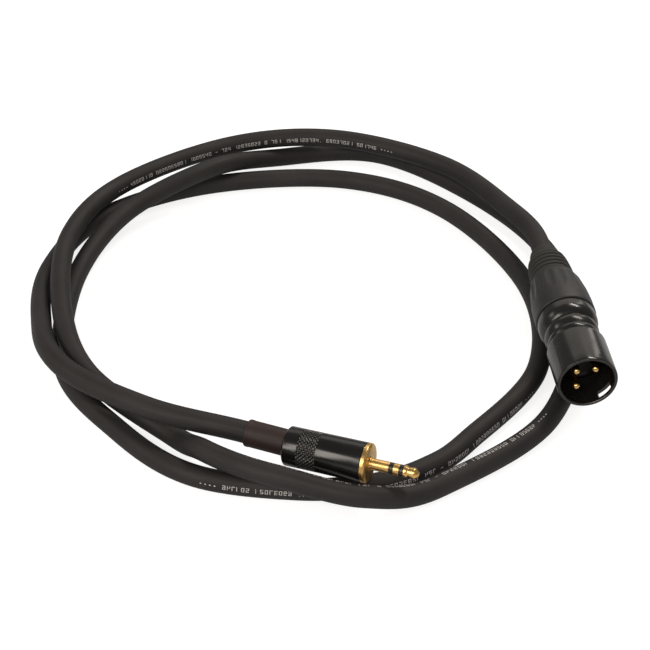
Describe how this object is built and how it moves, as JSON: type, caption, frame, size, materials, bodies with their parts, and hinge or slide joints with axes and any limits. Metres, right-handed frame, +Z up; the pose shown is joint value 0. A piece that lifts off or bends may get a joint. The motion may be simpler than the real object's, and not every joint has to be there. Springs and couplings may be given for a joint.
{
  "type": "audio cable with xlr and 3.5 mm stereo plugs",
  "caption": "Microphone lead laid in loose loops, with a three-pin male XLR plug at one end and a gilt 3.5 mm stereo plug at the other.",
  "frame": {"origin": "on the floor under the middle of the lead's box", "axes": "+Z up; the XLR plug faces -Y and the loops lie flat in XY"},
  "size_m": [0.1871, 0.2053, 0.0269],
  "materials": {
    "gloss_shell": "black gloss coating on die-cast zinc",
    "insert_plastic": "black glass-filled nylon",
    "gilt": "gold plating on turned brass",
    "solder": "bright tin solder",
    "core_red": "red core insulation",
    "core_white": "white core insulation",
    "screen_copper": "bare copper strands",
    "chuck_plastic": "dark grey acetal",
    "bushing_plastic": "satin black glass-filled nylon",
    "boot_rubber": "matt black thermoplastic rubber",
    "jacket_pvc": "matt charcoal flexible PVC",
    "barrel_coat": "satin black coating on turned brass",
    "liner_clear": "clear liner tube",
    "sleeve_rubber": "brown-black shrink sleeve",
    "block_plastic": "cream moulded insulator",
    "ring_plastic": "black moulded insulator"
  },
  "bodies": {
    "root": {"xlr_shell": "gloss_shell", "xlr_insert": "insert_plastic", "xlr_pin_1": "gilt", "xlr_pin_2": "gilt", "xlr_pin_3": "gilt", "xlr_ground_spring": "gilt", "xlr_solder": "solder", "xlr_core_hot": "core_red", "xlr_core_cold": "core_white", "xlr_screen_tail": "screen_copper", "cable_jacket": "jacket_pvc", "cable_screen_ends": "screen_copper", "plug_strain_sleeve": "sleeve_rubber", "plug_cable_clamp": "gilt", "plug_core_hot": "core_red", "plug_core_cold": "core_white", "plug_screen_tail": "screen_copper", "plug_solder": "solder", "plug_tip_lug": "gilt", "plug_ring_lug": "gilt", "plug_terminal_block": "block_plastic", "plug_tip_contact": "gilt", "plug_front_insulator": "ring_plastic", "plug_ring_contact": "gilt", "plug_rear_insulator": "ring_plastic", "plug_sleeve_contact": "gilt"},
    "xlr_chuck": {"xlr_chuck": "chuck_plastic"},
    "xlr_bushing": {"xlr_bushing": "bushing_plastic", "xlr_boot": "boot_rubber"},
    "plug_liner": {"plug_liner": "liner_clear"},
    "plug_barrel": {"plug_barrel": "barrel_coat"}
  },
  "joints": [
    {"name": "xlr_chuck_slide", "type": "slide", "parent": "root", "child": "xlr_chuck", "axis": [0, 1, 0], "range_m": [0, 0.0045]},
    {"name": "xlr_bushing_turn", "type": "hinge", "parent": "xlr_chuck", "child": "xlr_bushing", "pos_m": [0.0815, -0.025, 0.017], "axis": [0, 1, 0], "range_deg": [0, 1080]},
    {"name": "plug_liner_slide", "type": "slide", "parent": "root", "child": "plug_liner", "axis": [-0.8909, 0.45, -0.061], "range_m": [0, 0.0045]},
    {"name": "plug_barrel_turn", "type": "hinge", "parent": "plug_liner", "child": "plug_barrel", "pos_m": [-0.00101, -0.0853, 0.01243], "axis": [-0.8909, 0.45, -0.061], "range_deg": [0, 2160]}
  ],
  "couplings": [
    {"joint": "xlr_chuck_slide", "follows": "xlr_bushing_turn", "m_per_rad": 0.00023873},
    {"joint": "plug_liner_slide", "follows": "plug_barrel_turn", "m_per_rad": 0.00011937}
  ]
}
